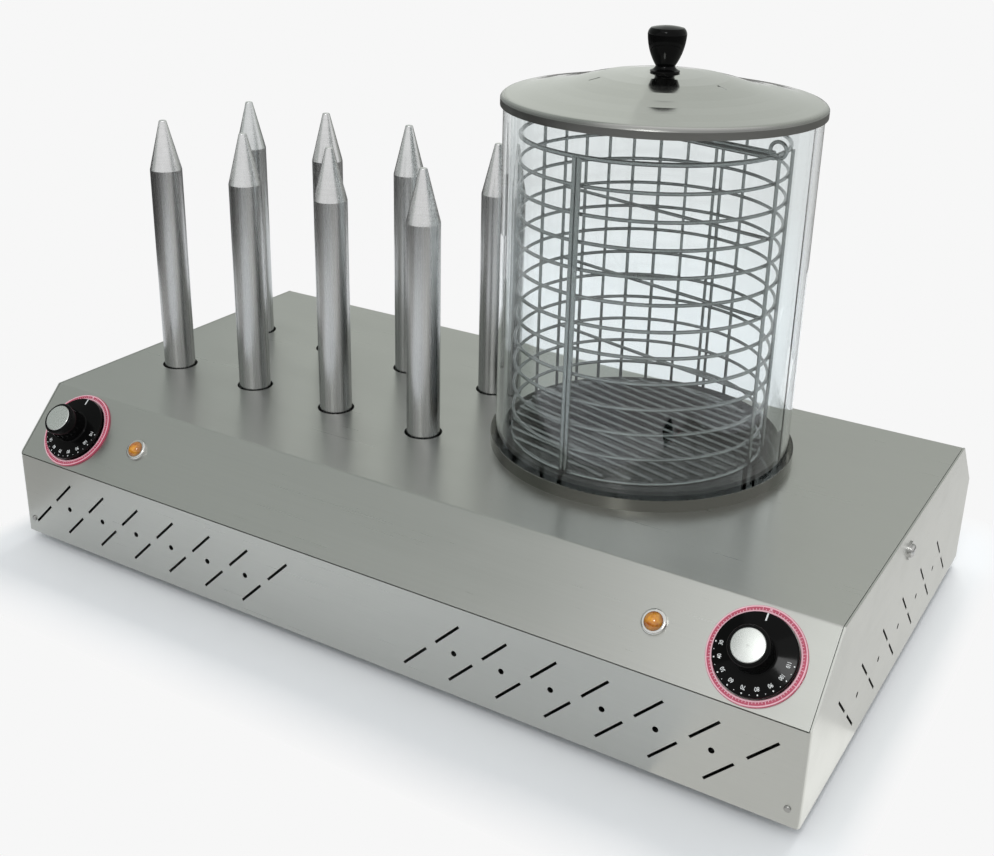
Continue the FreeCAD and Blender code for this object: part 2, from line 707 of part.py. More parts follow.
def make_element(under):
    """Ring element clamped under the pan, with its cut-out switch."""
    level = top_level + under - d.element_thick
    x, y = d.steamer_x, d.steamer_y
    loop = hoop("element_loop", d.element_radius, d.element_thick, (x, y, level))
    loop.Angle3 = ELEMENT_GAP
    legs = []
    for degrees in (0, ELEMENT_GAP):
        across, deep = polar(d.element_radius, degrees)
        legs.append(rod("element_leg", d.element_thick - 0.4, 24,
                        (x + across, y + deep, level - 24)))
        legs.append(rod("element_pin", 1.5, 8, (x + across, y + deep, level - 32)))
    keep("pan_element", fuse("pan_element", [loop] + legs))
    bar_top = level - d.element_thick
    bar = slab("clamp_plate", (2 * d.element_radius + 24, 18, 2), (x, y, bar_top - 1),
               Rotation(Z_AXIS, 75))
    keep("element_clamp", cut("element_clamp", bar,
                              [rod("clamp_cut", 3.2, 6, (x, y, bar_top - 4))]))
    keep("clamp_stud", rod("clamp_stud", d.stud_radius, 2 * d.element_thick + 10,
                           (x, y, bar_top - 10)))
    small_nuts.append(small_nut((x, y, bar_top - 2)))
    switch_x, switch_y = x - 34, y + 6
    can = rod("cutout_can", 8, 7, (switch_x, switch_y, top_level + under - 7))
    foot = slab("cutout_foot", (26, 10, 1), (switch_x, switch_y, top_level + under - 0.5))
    tags = [slab("cutout_tag", (1, 5, 8), (switch_x + side, switch_y, top_level + under - 10.5))
            for side in (-4, 4)]
    keep("pan_cutout", fuse("pan_cutout", [can, foot] + tags))


def dome(radius, height):
    """Radius of the ball that a cap of this radius and height is cut from."""
    return (radius * radius + height * height) / (2 * height)


def make_lid():
    """Spun lid with a rolled rim and three steam slots, and its grip."""
    centre = (d.steamer_x, d.steamer_y, top_level)
    thin = d.lid_sheet
    middle, wide = d.lid_middle, d.lid_radius
    crown = [(12, 0), (25, -0.5), (40, -2.0), (50, -4.4), (60, -7.2), (70, -9.4),
             (80, -11.1), (90, -13.2), (LID_EDGE, LID_FALL)]
    outer = [(d.lid_bore, middle)] + [(across, middle + fall) for across, fall in crown]
    outer += [(wide, d.lid_rim_top - 1.2, -4.6), (wide, d.lid_rim_low)]
    inner = [(wide - thin, d.lid_rim_low), (wide - thin, d.lid_rim_top - 1.2),
             (LID_EDGE, middle + LID_FALL - thin, 3.8)]
    inner += [(across, middle + fall - thin) for across, fall in reversed(crown[:-1])]
    inner += [(d.lid_bore, middle - thin)]
    shell = turned("lid_shell", outer + inner, centre)
    slots = []
    for degrees in LID_SLOTS:
        across, deep = polar(1.0, degrees)
        spot = (d.steamer_x + d.lid_slot_reach * across,
                d.steamer_y + d.lid_slot_reach * deep, top_level + middle - 3)
        slots.append(slab("lid_slot_cut", (d.lid_slot_length, d.lid_slot_width, 8), spot,
                          Rotation(Z_AXIS, degrees)))
    keep("lid", cut("lid", shell, slots))
    tall, wide = d.grip_height, d.grip_radius
    base = top_level + middle
    crown, rise = wide - 1.8, 1.3
    bore, deep = d.grip_bore, d.grip_bore_depth
    grip = [(bore, 0.0), (9.0, 0.0), (9.2, 1.2, 1.5), (6.0, 3.9, -4.5), (wide, tall - 5.8, 38),
            (crown, tall - rise, 5.0), (0.0, tall, dome(crown, rise)), (0.0, deep), (bore, deep)]
    keep("lid_grip", turned("lid_grip", grip, (d.steamer_x, d.steamer_y, base)))
    head = rod("lid_screw_head", 5, 2, (d.steamer_x, d.steamer_y, base - thin - 2))
    shank = rod("lid_screw_shank", d.grip_bore, 14, (d.steamer_x, d.steamer_y, base - thin))
    keep("lid_screw", fuse("lid_screw", [head, shank]))


def make_basket():
    """Welded wire basket: rings, uprights, floor, feet and divider."""
    thin, thick = d.wire_thin, d.wire_thick
    top = top_level + d.basket_top
    low = top - d.ring_pitch * (RINGS - 1)
    rings = []
    for number in range(RINGS):
        wire = thick if number in (0, RINGS - 1) else thin
        rings.append(hoop("basket_ring", d.basket_radius, wire,
                          (basket_x, basket_y, top - d.ring_pitch * number)))
    keep("basket_rings", group("basket_rings", rings))
    uprights = []
    for degrees in THIN_UPRIGHTS:
        at = basket_point(d.basket_radius + 2 * thin - d.weld, degrees, low)
        uprights.append(rod("basket_upright", thin, top - low, at))
    for degrees in THICK_UPRIGHTS:
        at = basket_point(d.basket_radius + thin + thick - d.weld, degrees, low)
        uprights.append(rod("basket_twin", thick, top - low, at))
    keep("basket_uprights", group("basket_uprights", uprights))
    make_basket_floor(low)
    make_basket_feet(low)
    make_divider(top)


def divider_heading():
    """Direction of the divider and the floor wires, degrees from +X."""
    return sum(DIVIDER_ENDS) / 2 - 90


def make_basket_floor(low):
    """Parallel floor wires welded across the bottom ring."""
    heading = divider_heading()
    wires = []
    turn = Rotation(Z_AXIS, heading) * Rotation(Y_AXIS, 90)
    for step in range(-8, 9):
        offset = d.floor_pitch * step
        half = root(d.basket_radius * d.basket_radius - offset * offset)
        side_x, side_y = polar(1.0, heading + 90)
        along_x, along_y = polar(1.0, heading)
        at = (basket_x + offset * side_x - half * along_x,
              basket_y + offset * side_y - half * along_y,
              low + d.wire_thick + d.wire_thin - d.weld)
        wires.append(rod("floor_wire", d.wire_thin, half * 2, at, turn))
    keep("basket_floor", group("basket_floor", wires))


def make_basket_feet(low):
    """Bent loops below the bottom ring that stand on the pan's floor."""
    pan_floor = top_level - d.pan_depth
    wire, loop = d.wire_thick, d.foot_loop
    bottom = pan_floor + 0.3 + wire + loop
    feet = []
    for degrees in BASKET_FEET:
        turn = Rotation(Z_AXIS, degrees + 90) * Rotation(X_AXIS, 90)
        bend = hoop("foot_bend", loop, wire, basket_point(d.basket_radius, degrees, bottom),
                    turn)
        bend.Angle3 = 180
        bend.Placement = bend.Placement.multiply(
            Placement(Vector(), Rotation(Z_AXIS, 180)))
        side_x, side_y = polar(loop, degrees + 90)
        x, y, _ = basket_point(d.basket_radius, degrees, bottom)
        legs = [rod("foot_leg", wire, low - wire - bottom + d.weld,
                    (x + side_x * hand, y + side_y * hand, bottom)) for hand in (-1, 1)]
        feet.append(fuse("basket_foot", [bend] + legs))
    keep("basket_feet", group("basket_feet", feet))


def make_divider(top):
    """Straight bars that part the basket in two, with a doubled top bar and an
    eye at each of its ends to lift the basket by."""
    reach = d.basket_radius - d.wire_thin
    far, near = DIVIDER_ENDS
    start = basket_point(reach, far, top)
    opening = math.radians(far - near)
    length = reach * (2 * math.sin(opening / 2))
    turn = Rotation(Z_AXIS, divider_heading()) * Rotation(Y_AXIS, 90)
    bars = []
    for ring in DIVIDER_RINGS:
        level = top - d.ring_pitch * ring
        bars.append(rod("divider_bar", d.wire_thin, length, (start[0], start[1], level), turn))
    pair = [rod("top_bar", d.wire_thick, length,
                (start[0], start[1], top + d.wire_thick * rise), turn) for rise in (-0.98, 0.98)]
    eyes = []
    for degrees in DIVIDER_ENDS:
        eyes.append(hoop("lifting_eye", d.eye_radius, d.wire_thin,
                         basket_point(d.basket_radius + 1, degrees, top + d.eye_lift),
                         Rotation(Z_AXIS, degrees) * Rotation(X_AXIS, 90)))
    bars.append(fuse("lifting_bar", pair + eyes))
    keep("basket_divider", group("basket_divider", bars))


def make_controls():
    """Thermostats with their dials, and the pilot lamps, all on the front slope."""
    fixing, bezels, barrels = [], [], []
    for name, side in (("left", -1), ("right", 1)):
        make_dial(name, d.dial_across * side)
        fixing += make_thermostat(name, d.dial_across * side)
        bezel, barrel = make_lamp(name, on_slope(d.lamp_across * side))
        bezels.append(bezel)
        barrels.append(barrel)
    keep("thermostat_screws", group("thermostat_screws", fixing))
    keep("lamp_bezels", group("lamp_bezels", bezels))
    keep("lamp_barrels", group("lamp_barrels", barrels))


def make_dial(name, across):
    """Fixed scale ring, then the turning knob with its cap and spindle."""
    spot = on_slope(across)
    ring = [(d.scale_bore, 0.0), (d.scale_radius, 0.0),
            (d.scale_radius, d.scale_thick - 0.6), (d.scale_radius - 0.6, d.scale_thick, 0.6),
            (d.scale_bore, d.scale_thick)]
    keep(f"scale_ring_{name}", turned(f"scale_ring_{name}", ring, spot, tilted=True))
    hub, tall = d.hub_radius, d.hub_height
    knob = [(d.spindle_radius, 2.8), (d.dial_radius - 0.8, 2.8), (d.dial_radius, 3.4, 0.8),
            (d.dial_radius, 4.2), (d.dial_radius - 0.8, 4.9, 0.8), (hub + 1.2, 6.2),
            (hub, 7.4, -1.2), (hub, tall - 1.6), (hub - 1.3, tall - 0.3, 1.6),
            (d.cap_radius + 0.1, tall - 0.3), (d.cap_radius + 0.1, tall - 1.6),
            (0.0, tall - 1.6), (0.0, 16.2), (d.spindle_radius, 16.2)]
    keep(f"knob_{name}", turned(f"knob_{name}", knob, spot, tilted=True))
    face, rise = d.cap_radius - 0.5, 0.4
    cap = [(0.0, tall - 1.6), (d.cap_radius, tall - 1.6), (d.cap_radius, tall - 0.4),
           (face, tall + 0.1, 0.55), (0.0, tall + 0.1 + rise, dome(face, rise))]
    keep(f"knob_cap_{name}", turned(f"knob_cap_{name}", cap, spot, tilted=True))
    keep(f"spindle_{name}", rod(f"spindle_{name}", d.spindle_radius, 29.5,
                                on_slope(across, 0, -13.5), tilted=True))


def make_thermostat(name, across):
    """Capillary thermostat behind the slope; returns its two fixing screws."""
    thick = float(d.sheet_thick)
    deep = d.thermostat_depth
    can = slab(f"thermostat_{name}_can", (d.thermostat_width, d.thermostat_height, deep),
               on_slope(across, 0, -thick - float(deep) / 2), tilted=True)
    bush = rod(f"thermostat_{name}_bush", 5, thick + 1.8, on_slope(across, 0, -thick - 1),
               tilted=True)
    bore = rod(f"thermostat_{name}_bore", d.spindle_radius + d.spindle_play, 20,
               on_slope(across, 0, -14), tilted=True)
    threads, screws = [], []
    for hand in (-1, 1):
        aside = across + d.fixing_reach * hand
        end = on_slope(aside, 0, -thick - 6)
        threads.append(rod("thermostat_thread", d.screw_shank, 8, end, tilted=True))
        shank = rod("fixing_shank", d.screw_shank, 6 + thick, end, tilted=True)
        head = rod("fixing_head", 3.6, 2, on_slope(aside), tilted=True)
        screws.append(fuse("fixing_screw", [shank, head]))
    keep(f"thermostat_{name}", cut(f"thermostat_{name}",
                                   fuse(f"thermostat_{name}_body", [can, bush]),
                                   [bore] + threads))
    return screws


def make_lamp(name, spot):
    """Pilot lamp: keeps the domed lens, returns its bezel and the barrel behind."""
    wide, lens = d.lamp_radius, d.lens_radius
    bezel = [(lens + 0.1, 0.0), (wide, 0.0), (wide, 1.0), (wide - 1.2, 2.4, 1.4),
             (lens + 0.1, 2.4)]
    rise = 3.0
    glow = [(0.0, -3.0), (lens, -3.0), (lens, 2.6), (0.0, 2.6 + rise, dome(lens, rise))]
    keep(f"lamp_lens_{name}", turned(f"lamp_lens_{name}", glow, spot, tilted=True))
    barrel = [(0.0, -22.0), (4.5, -22.0), (4.5, -20.0), (6.0, -20.0), (6.0, -1.5),
              (lens + 0.1, -1.5), (lens + 0.1, -3.0), (0.0, -3.0)]
    return (turned("lamp_bezel", bezel, spot, tilted=True),
            turned("lamp_barrel", barrel, spot, tilted=True))


def make_electrics():
    """Cord gland, terminal block, capillaries and internal leads."""
    gland = [(GLAND_BORE, -GLAND_REACH), (GLAND_RADIUS, -GLAND_REACH), (GLAND_RADIUS, 0.0),
             (GLAND_FLANGE, 0.0), (GLAND_FLANGE, GLAND_STAND - 0.8),
             (GLAND_FLANGE - 0.8, GLAND_STAND, 0.85), (GLAND_BORE + 0.7, GLAND_STAND),
             (GLAND_BORE, GLAND_STAND - 0.7)]
    outward = Rotation(X_AXIS, -90)
    spot = (GLAND_ACROSS, half_depth, floor_level + GLAND_LEVEL)
    keep("cord_gland", turned("cord_gland", gland, spot, outward))
    nut = hexagon("gland_hexagon", 12, 5, (GLAND_ACROSS, half_depth - d.sheet_thick - 5,
                                           floor_level + GLAND_LEVEL), outward)
    bore = rod("gland_nut_cut", GLAND_RADIUS, 8, (GLAND_ACROSS, half_depth - 8.2,
                                                  floor_level + GLAND_LEVEL), outward)
    keep("gland_nut", cut("gland_nut", nut, [bore]))
    tray = floor_level + d.sheet_thick
    foot = slab("block_foot", (66, 20, 4), (BLOCK_ACROSS, BLOCK_DEEP, tray + 2))
    body = slab("block_body", (48, 18, 16), (BLOCK_ACROSS, BLOCK_DEEP, tray + 8))
    holes, wells = [], []
    for step in (-2, -1, 0, 1, 2):
        across = BLOCK_ACROSS + BLOCK_PITCH * step
        holes.append(rod("block_hole", d.screw_hole, 24, (across, BLOCK_DEEP + 12, tray + 9),
                         Rotation(X_AXIS, 90)))
        wells.append(rod("block_well", 2.6, 8, (across, BLOCK_DEEP, tray + 11)))
    keep("terminal_block", cut("terminal_block", fuse("block_solid", [foot, body]),
                               holes + wells))
    make_capillaries()
    make_leads(tray)


def make_capillaries():
    """Sensing tubes from each thermostat to the part whose heat it reads."""
    below_pan = float(top_level - d.pan_depth - d.pan_sheet) - BULB_RADIUS
    below_rail = float(floor_level + d.rail_level - d.rail_thick) - BULB_RADIUS
    beside_row = float(d.row_front) + 17
    ends = {
        "left": [(-225, -65, 50), (-195, beside_row, below_rail),
                 (-158, beside_row, below_rail)],
        "right": [(232, -50, 66), (188, -1, below_pan), (145, 0.5, below_pan)],
    }
    for name, side in (("left", -1), ("right", 1)):
        start = [float(part) for part in on_slope(d.dial_across * side, 0, -27.2)]
        along = [float(part) for part in on_slope(d.dial_across * side, 0, -41)]
        route = [start, along] + ends[name]
        tube = doc.addObject("Part::Feature", f"capillary_{name}_tube")
        tube.Shape = bent_tube(route, TUBE_RADIUS, TUBE_BEND)
        last, before = Vector(*route[-1]), Vector(*route[-2])
        heading = last - before
        turn = Rotation(Z_AXIS, heading)
        bulb = rod(f"capillary_{name}_bulb", BULB_RADIUS, BULB_LENGTH, tuple(route[-1]), turn)
        keep(f"capillary_{name}", fuse(f"capillary_{name}", [tube, bulb]))


def make_leads(tray):
    """Insulated leads from the terminal block to the two thermostats."""
    level = float(tray) + 9
    leads = []
    routes = [
        [(BLOCK_ACROSS - 18, BLOCK_DEEP - 9, level), (BLOCK_ACROSS - 18, 100, level),
         (-225, 100, level), (-240, -60, level), (-250, -105, 40), (-250, -130, 58)],
        [(BLOCK_ACROSS + 18, BLOCK_DEEP - 9, level), (BLOCK_ACROSS + 18, 110, level),
         (262, 100, level), (262, -60, level), (262, -105, 40), (262, -130, 58)],
    ]
    for route in routes:
        lead = doc.addObject("Part::Feature", "lead")
        lead.Shape = bent_tube(route, LEAD_RADIUS, LEAD_BEND)
        leads.append(lead)
    keep("internal_leads", group("internal_leads", leads))


def make_screws():
    """Screws that show on the outside of the case."""
    side_screws = []
    for side in (-1, 1):
        outward = Rotation(Y_AXIS, 90 * side)
        wall = (half_length * side, 0.0, floor_level + SIDE_SCREW_LEVEL)
        shank, head, wide = d.screw_shank, d.side_head, d.washer_radius
        screw = [(0.0, -9.0), (shank, -9.0), (shank, 1.0), (head, 1.0), (head, 1.8),
                 (head - 2, 3.4, 2.6), (0.0, 3.4)]
        washer = [(d.screw_hole, 0.0), (wide, 0.0), (wide, 1.0), (d.screw_hole, 1.0)]
        side_screws.append(turned("side_screw", screw, wall, outward))
        side_screws.append(turned("side_washer", washer, wall, outward))
    keep("side_screws", group("side_screws", side_screws))
    corner_screws = []
    for across, deep, level, side in corner_screw_spots():
        shank, head = d.corner_shank, d.corner_head
        screw = [(0.0, -7.0), (shank, -7.0), (shank, 0.0), (head, 0.0), (head, 0.5),
                 (head - 0.8, 1.2, 1.4), (0.0, 1.2)]
        corner_screws.append(turned("corner_screw", screw, (across, deep, level),
                                    Rotation(X_AXIS, -90 * side)))
    keep("corner_screws", group("corner_screws", corner_screws))


def check_and_write():
    """Stop on any failed object or faulty shape, then write each sub-part."""
    doc.recompute()
    failed = [thing.Name for thing in doc.Objects
              if "Invalid" in thing.State or "Error" in thing.State]
    if failed:
        raise RuntimeError(f"failed: {failed}")
    os.makedirs("parts", exist_ok=True)
    for node in nodes:
        if node.Shape.isNull() or not node.Shape.isValid() or not node.Shape.Solids:
            raise RuntimeError(f"{node.Label} has a faulty shape")
    for node in nodes:
        node.Shape.exportStep(f"parts/{node.Label}.step")
        print(f"{node.Label}: {len(node.Shape.Solids)} solid(s), "
              f"{node.Shape.Volume / 1000:.2f} cm3")
    print(len(nodes), "nodes")


make_case()
make_feet()
make_spikes()
make_steamer()
keep("small_nuts", group("small_nuts", small_nuts))
make_lid()
make_basket()
make_controls()
make_electrics()
make_screws()
check_and_write()
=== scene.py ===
"""Looks of the hot dog toaster: finishes for every CAD node, the printed dials, the
weld beads of the basket, and the studio round it. Metres, in the frame of the CAD."""

import math

import bmesh
import bpy
from mathutils import Matrix, Vector


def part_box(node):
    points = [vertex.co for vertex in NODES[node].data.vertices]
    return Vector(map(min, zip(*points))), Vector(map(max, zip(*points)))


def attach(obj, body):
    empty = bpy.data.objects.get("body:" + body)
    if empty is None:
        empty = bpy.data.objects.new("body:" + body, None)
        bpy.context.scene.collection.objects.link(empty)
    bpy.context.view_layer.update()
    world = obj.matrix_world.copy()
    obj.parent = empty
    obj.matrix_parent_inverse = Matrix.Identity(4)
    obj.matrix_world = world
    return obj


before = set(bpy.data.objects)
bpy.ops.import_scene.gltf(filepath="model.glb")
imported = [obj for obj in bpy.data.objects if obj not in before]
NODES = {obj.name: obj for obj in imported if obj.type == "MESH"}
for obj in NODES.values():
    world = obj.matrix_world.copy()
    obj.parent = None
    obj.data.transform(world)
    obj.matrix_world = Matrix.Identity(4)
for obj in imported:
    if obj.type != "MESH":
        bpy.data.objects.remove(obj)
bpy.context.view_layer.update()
MM = 0.001
WHITE = (0.93, 0.93, 0.93)
FULL_TURN = 360

# Dials and lamps stand square on the front slope.
UP_SLOPE = Vector((0, 0.70286, 0.711328))
OUTWARD = Vector((0, -0.711328, 0.70286))
SLOPE_Y, SLOPE_Z = -0.15425, 0.091
DIAL_X, LAMP_X = 0.26, 0.2
LENS_LEVEL = 2.4 * MM

# A dial's disc is a shallow cone from its rim up to the hub.
DISC_RIM, DISC_HUB = 23.5 * MM, 11.6 * MM
DISC_LEVEL, DISC_RISE = 4.9 * MM, 1.3 * MM
PRINT_LIFT = 0.05 * MM
# Numbers, dots and index line on the disc; angles in degrees from the right.
FIRST_NUMBER, NUMBER_STEP, NUMBERS = 30, 10, 9
FIRST_ANGLE, ANGLE_STEP = 180, 22.5
DIGIT_RADIUS, DIGIT_HEIGHT = 18.9 * MM, 2.3 * MM
TWO_DIGITS_WIDTH, THREE_DIGITS_WIDTH = 0.82, 0.7
THREE_DIGITS_FROM = 100
DOT_RADIUS, MAIN_DOT, HALF_DOT = 22.1 * MM, 0.42 * MM, 0.24 * MM
INDEX_INNER, INDEX_OUTER, INDEX_WIDTH, INDEX_ANGLE = 18.8 * MM, 23.2 * MM, 0.9 * MM, 90
# Prints of the scale ring.
LINE_INNER, LINE_OUTER = 24.15 * MM, 25.0 * MM
BORDER_INNER, BORDER_OUTER = 26.8 * MM, 27.55 * MM
SHORT_MARK, LONG_MARK, MARK_WIDTH = 25.9 * MM, 26.7 * MM, 0.34 * MM
MARKS, MARKS_PER_LONG = 90, 5
POINTER = ((-0.9 * MM, 26.7 * MM, 0), (0.9 * MM, 26.7 * MM, 0), (0, 24.9 * MM, 0))
MARKS_LEVEL, BORDER_LEVEL = 1.54 * MM, 1.53 * MM
RING_STEPS, DOT_CORNERS = 96, 12

# The basket's own axis, rings and uprights.
BASKET_X, BASKET_Y = 0.1048, 0.0143
RING_RADIUS, RING_TOP, RING_PITCH, RINGS = 0.0844, 0.325, 0.01688, 13
UPRIGHTS = (173, 158.5, 146.7, 134.9, 123.4, 110.9, 98, 84.2, 80.7, 68, 8, -8.5)
TWINS = (-96.4, -94.4)
# A weld bead's half sizes outward, along the ring and upright.
BEAD, BEAD_OUTSIDE = Vector((0.75 * MM, 1.55 * MM, 1.45 * MM)), 1.1 * MM

STEAMER = (0.108, 0.016)
LID_RIM = 0.3485
# The last of these is the span over which painted shade darkens each spike towards its lower
# end.
SPIKE_COLOUR, SPIKE_CONE, SPIKE_SHADED_SPAN = (0.56, 0.588, 0.588), 0.036, (0.112, 0.215)


class Finish:
    """A procedural material: one principled shader and the nodes that vary it."""

    MIDDLE = 0.5
    ROUGH_SWING = 0.03

    def __init__(self, name, metallic=0.0, roughness=0.5, **fixed):
        self.material = bpy.data.materials.new(name)
        self.material.use_nodes = True
        self.tree = self.material.node_tree
        self.shader = self.tree.nodes["Principled BSDF"]
        self.output = self.tree.nodes["Material Output"]
        self.set(Metallic=metallic, Roughness=roughness, **fixed)
        self.place = self.node("ShaderNodeTexCoord").outputs["Object"]

    def set(self, **values):
        """Constants of the shader; an underscore stands for a space."""
        for socket, value in values.items():
            self.shader.inputs[socket.replace("_", " ")].default_value = value

    def node(self, kind, **settings):
        made = self.tree.nodes.new(kind)
        for name, value in settings.items():
            setattr(made, name, value)
        return made

    def link(self, source, target):
        self.tree.links.new(source, target)

    def stretch(self, scale):
        """Coordinates scaled per axis, in repeats per metre."""
        mapping = self.node("ShaderNodeMapping")
        mapping.inputs["Scale"].default_value = scale
        self.link(self.place, mapping.inputs["Vector"])
        return mapping.outputs["Vector"]

    def noise(self, vector, detail=2.0, scale=1.0, harsh=0.5):
        made = self.node("ShaderNodeTexNoise")
        made.inputs["Scale"].default_value = scale
        made.inputs["Detail"].default_value = detail
        made.inputs["Roughness"].default_value = harsh
        self.link(vector, made.inputs["Vector"])
        return made.outputs["Fac"]

    def split(self, vector):
        made = self.node("ShaderNodeSeparateXYZ")
        self.link(vector, made.inputs["Vector"])
        return made.outputs

    def normal(self):
        return self.node("ShaderNodeNewGeometry").outputs["Normal"]

    def between(self, factor, low, high, start=0.3, end=0.7):
        """From low to high while the factor goes from start to end."""
        made = self.node("ShaderNodeMapRange")
        for socket, value in (("From Min", start), ("From Max", end),
                              ("To Min", low), ("To Max", high)):
            made.inputs[socket].default_value = value
        self.link(factor, made.inputs["Value"])
        return made.outputs["Result"]

    def swing(self, factor, amount):
        return self.between(factor, -amount, amount)

    def uneven(self, factor, roughness):
        return self.between(factor, roughness - self.ROUGH_SWING,
                            roughness + self.ROUGH_SWING)

    def maths(self, operation, first, second):
        made = self.node("ShaderNodeMath", operation=operation)
        for socket, value in zip(made.inputs, (first, second)):
            if isinstance(value, (int, float)):
                socket.default_value = value
            else:
                self.link(value, socket)
        return made.outputs[0]

    def total(self, first, *others):
        for other in others:
            first = self.maths("ADD", first, other)
        return first

    def choose(self, factor, first, second):
        """The first output where the factor is 0, the second where it is 1."""
        made = self.node("ShaderNodeMix", data_type="FLOAT")
        self.link(factor, made.inputs["Factor"])
        self.link(first, made.inputs[2])
        self.link(second, made.inputs[3])
        return made.outputs[0]

    def blend(self, factor, first, second):
        """Colour between two colours, or between a colour and a node's output."""
        made = self.node("ShaderNodeMix", data_type="RGBA")
        self.link(factor, made.inputs["Factor"])
        for socket, value in ((made.inputs[6], first), (made.inputs[7], second)):
            if isinstance(value, tuple):
                socket.default_value = (*value, 1)
            else:
                self.link(value, socket)
        return made.outputs[2]

    def colour(self, output):
        self.link(output, self.shader.inputs["Base Color"])

    def shade(self, factor, colour, reach):
        """Base colour from a share below the one named to the same share above."""
        self.colour(self.blend(factor, scaled(colour, 1 - reach), scaled(colour, 1 + reach)))

    def rough(self, output):
        self.link(output, self.shader.inputs["Roughness"])

    def bump(self, height, distance, strength):
        made = self.node("ShaderNodeBump")
        made.inputs["Strength"].default_value = strength
        made.inputs["Distance"].default_value = distance
        self.link(height, made.inputs["Height"])
        self.link(made.outputs["Normal"], self.shader.inputs["Normal"])

    def brushed_round(self, axis, amount, turn=0.25):
        """Brush marks that run round an axis, and level along flat sheet; a turn of
        zero gives marks that run along the axis."""
        cross = self.node("ShaderNodeVectorMath", operation="CROSS_PRODUCT")
        cross.inputs[1].default_value = axis
        self.link(self.normal(), cross.inputs[0])
        self.link(cross.outputs["Vector"], self.shader.inputs["Tangent"])
        self.set(Anisotropic=amount, Anisotropic_Rotation=turn)

    def length(self, vector):
        made = self.node("ShaderNodeVectorMath", operation="LENGTH")
        self.link(vector, made.inputs[0])
        return made.outputs["Value"]

    def radius(self, centre):
        """Distance from an upright axis through a point."""
        shifted = self.node("ShaderNodeMapping")
        shifted.inputs["Location"].default_value = (-centre[0], -centre[1], 0)
        shifted.inputs["Scale"].default_value = (1, 1, 0)
        self.link(self.place, shifted.inputs["Vector"])
        return self.length(shifted.outputs["Vector"])

    def glow(self, colour):
        made = self.node("ShaderNodeEmission")
        made.inputs["Color"].default_value = (*colour, 1)
        return made.outputs[0]

    def give_way(self, factor, other):
        """The principled shader where the factor is 0, another where it is 1."""
        mix_shaders(self.tree, factor, self.shader.outputs[0], other, self.output)


def mix_shaders(tree, factor, first, second, output):
    mixed = tree.nodes.new("ShaderNodeMixShader")
    for socket, source in zip(mixed.inputs, (factor, first, second)):
        tree.links.new(source, socket)
    tree.links.new(mixed.outputs[0], output.inputs["Surface"])


def scaled(colour, share):
    return tuple(min(1.0, part * share) for part in colour)


def sheet_steel(name, colour, roughness):
    """Satin sheet: long brush marks, faint clouds, and a few wiped smears. The marks
    run along Y on the two ends and along X elsewhere."""
    grain, tone_reach, wiped_rougher = 0.02, 0.45, 0.05
    made = Finish(name, metallic=1.0, roughness=roughness)
    aside = made.maths("ABSOLUTE", made.split(made.normal())["X"], 0.0)
    on_end = made.maths("GREATER_THAN", aside, 0.7)
    along = made.noise(made.stretch((7, 900, 900)), detail=3, harsh=0.7)
    across = made.noise(made.stretch((900, 7, 900)), detail=3, harsh=0.7)
    marks = made.choose(on_end, along, across)
    clouds = made.noise(made.stretch((5, 7, 7)), detail=4, harsh=0.6)
    smears = made.noise(made.stretch((9, 30, 30)), detail=5, harsh=0.65)
    tone = made.total(made.swing(marks, grain), made.swing(clouds, 0.5 * grain), made.MIDDLE)
    made.shade(tone, colour, tone_reach)
    made.rough(made.total(made.between(smears, 0.0, wiped_rougher, 0.45, 0.75),
                          made.uneven(marks, roughness)))
    made.bump(marks, 0.006 * MM, 0.3)
    made.brushed_round((0, 0.1, 1), 0.7)
    return made.material


def spun_metal(name, colour, roughness, grain=0.014, anisotropic=0.4, rim=None):
    """Turned or spun metal: fine rings about the steamer's axis. Below the level of
    its rim the metal is rougher and darker; the darkening is painted shade."""
    rings_per_metre, tone_reach = 1400.0, 0.7
    rim_blur, below_rim_painted_shade, rim_rougher = 1 * MM, 0.42, 0.22
    made = Finish(name, metallic=1.0, roughness=roughness)
    level = made.split(made.place)["Z"]
    both = made.node("ShaderNodeCombineXYZ")
    for axis, distance in (("X", made.radius(STEAMER)), ("Y", level)):
        made.link(made.maths("MULTIPLY", distance, rings_per_metre), both.inputs[axis])
    rings = made.noise(both.outputs["Vector"], detail=2, harsh=0.6)
    clouds = made.noise(made.stretch((22, 22, 40)), detail=3)
    tone = made.total(made.swing(rings, grain), made.swing(clouds, grain))
    rough = made.total(made.between(clouds, 0.0, 0.04), made.uneven(rings, roughness))
    if rim:
        # Painted shade: the metal below the rim's level is darkened.
        below = made.between(level, 1, 0, rim - rim_blur, rim + rim_blur)
        tone = made.maths("SUBTRACT", tone, made.maths("MULTIPLY", below, below_rim_painted_shade))
        rough = made.total(rough, made.maths("MULTIPLY", below, rim_rougher))
    made.shade(made.total(tone, made.MIDDLE), colour, tone_reach)
    made.rough(rough)
    made.bump(rings, 0.004 * MM, 0.3)
    made.brushed_round((0, 0.02, 1), anisotropic)
    return made.material


